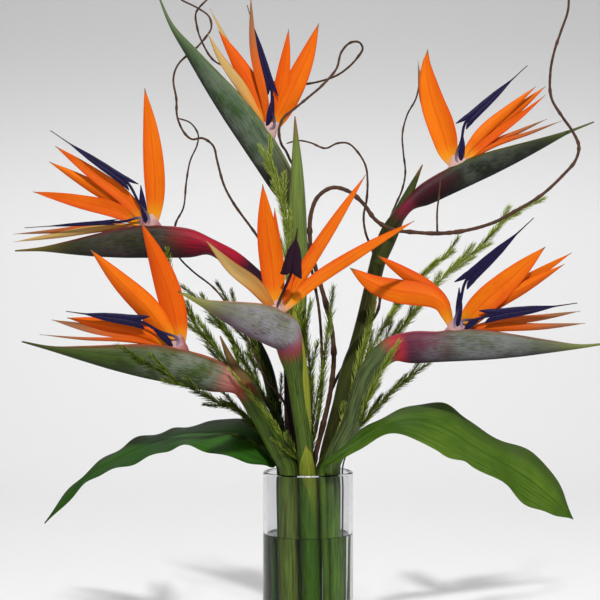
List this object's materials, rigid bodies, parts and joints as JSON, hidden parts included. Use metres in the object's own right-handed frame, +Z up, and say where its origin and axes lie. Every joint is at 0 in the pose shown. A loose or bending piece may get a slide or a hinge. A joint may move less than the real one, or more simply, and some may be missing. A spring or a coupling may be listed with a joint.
{
  "type": "bird of paradise flower arrangement",
  "caption": "Bouquet of bird of paradise flowers with strap leaves, curly willow and asparagus fern, standing in water in a clear glass cylinder vase.",
  "frame": {"origin": "centre of the vase's flat bottom", "axes": "+Z up, -Y to the front, +X to the viewer's right"},
  "size_m": [0.5952, 0.2365, 0.7196],
  "materials": {
    "vase": "clear, polished",
    "water": "clear water",
    "stalk": "satin, with a grey bloom",
    "sepals": "satin",
    "tongue": "satin",
    "leaf": "satin",
    "willow": "bark",
    "fern": "matte"
  },
  "bodies": {
    "root": {"fern_centre": "fern", "fern_left_back": "fern", "fern_left_long": "fern", "fern_left_low": "fern", "fern_left_second": "fern", "fern_mouth": "fern", "fern_right_long": "fern", "fern_right_low": "fern", "fern_right_second": "fern", "fern_top": "fern", "leaf_left": "leaf", "leaf_right": "leaf", "leaf_rolled": "leaf", "sepals_front": "sepals", "sepals_lower_left": "sepals", "sepals_lower_right": "sepals", "sepals_top": "sepals", "sepals_upper_left": "sepals", "sepals_upper_right": "sepals", "stalk_front": "stalk", "stalk_lower_left": "stalk", "stalk_lower_right": "stalk", "stalk_top": "stalk", "stalk_upper_left": "stalk", "stalk_upper_right": "stalk", "tongue_front": "tongue", "tongue_lower_left": "tongue", "tongue_lower_right_1": "tongue", "tongue_lower_right_2": "tongue", "tongue_top": "tongue", "tongue_upper_left_1": "tongue", "tongue_upper_left_2": "tongue", "tongue_upper_right": "tongue", "vase": "vase", "water": "water", "willow_far_left": "willow", "willow_left": "willow", "willow_right": "willow", "willow_top": "willow", "willow_upper_right": "willow"}
  },
  "joints": []
}
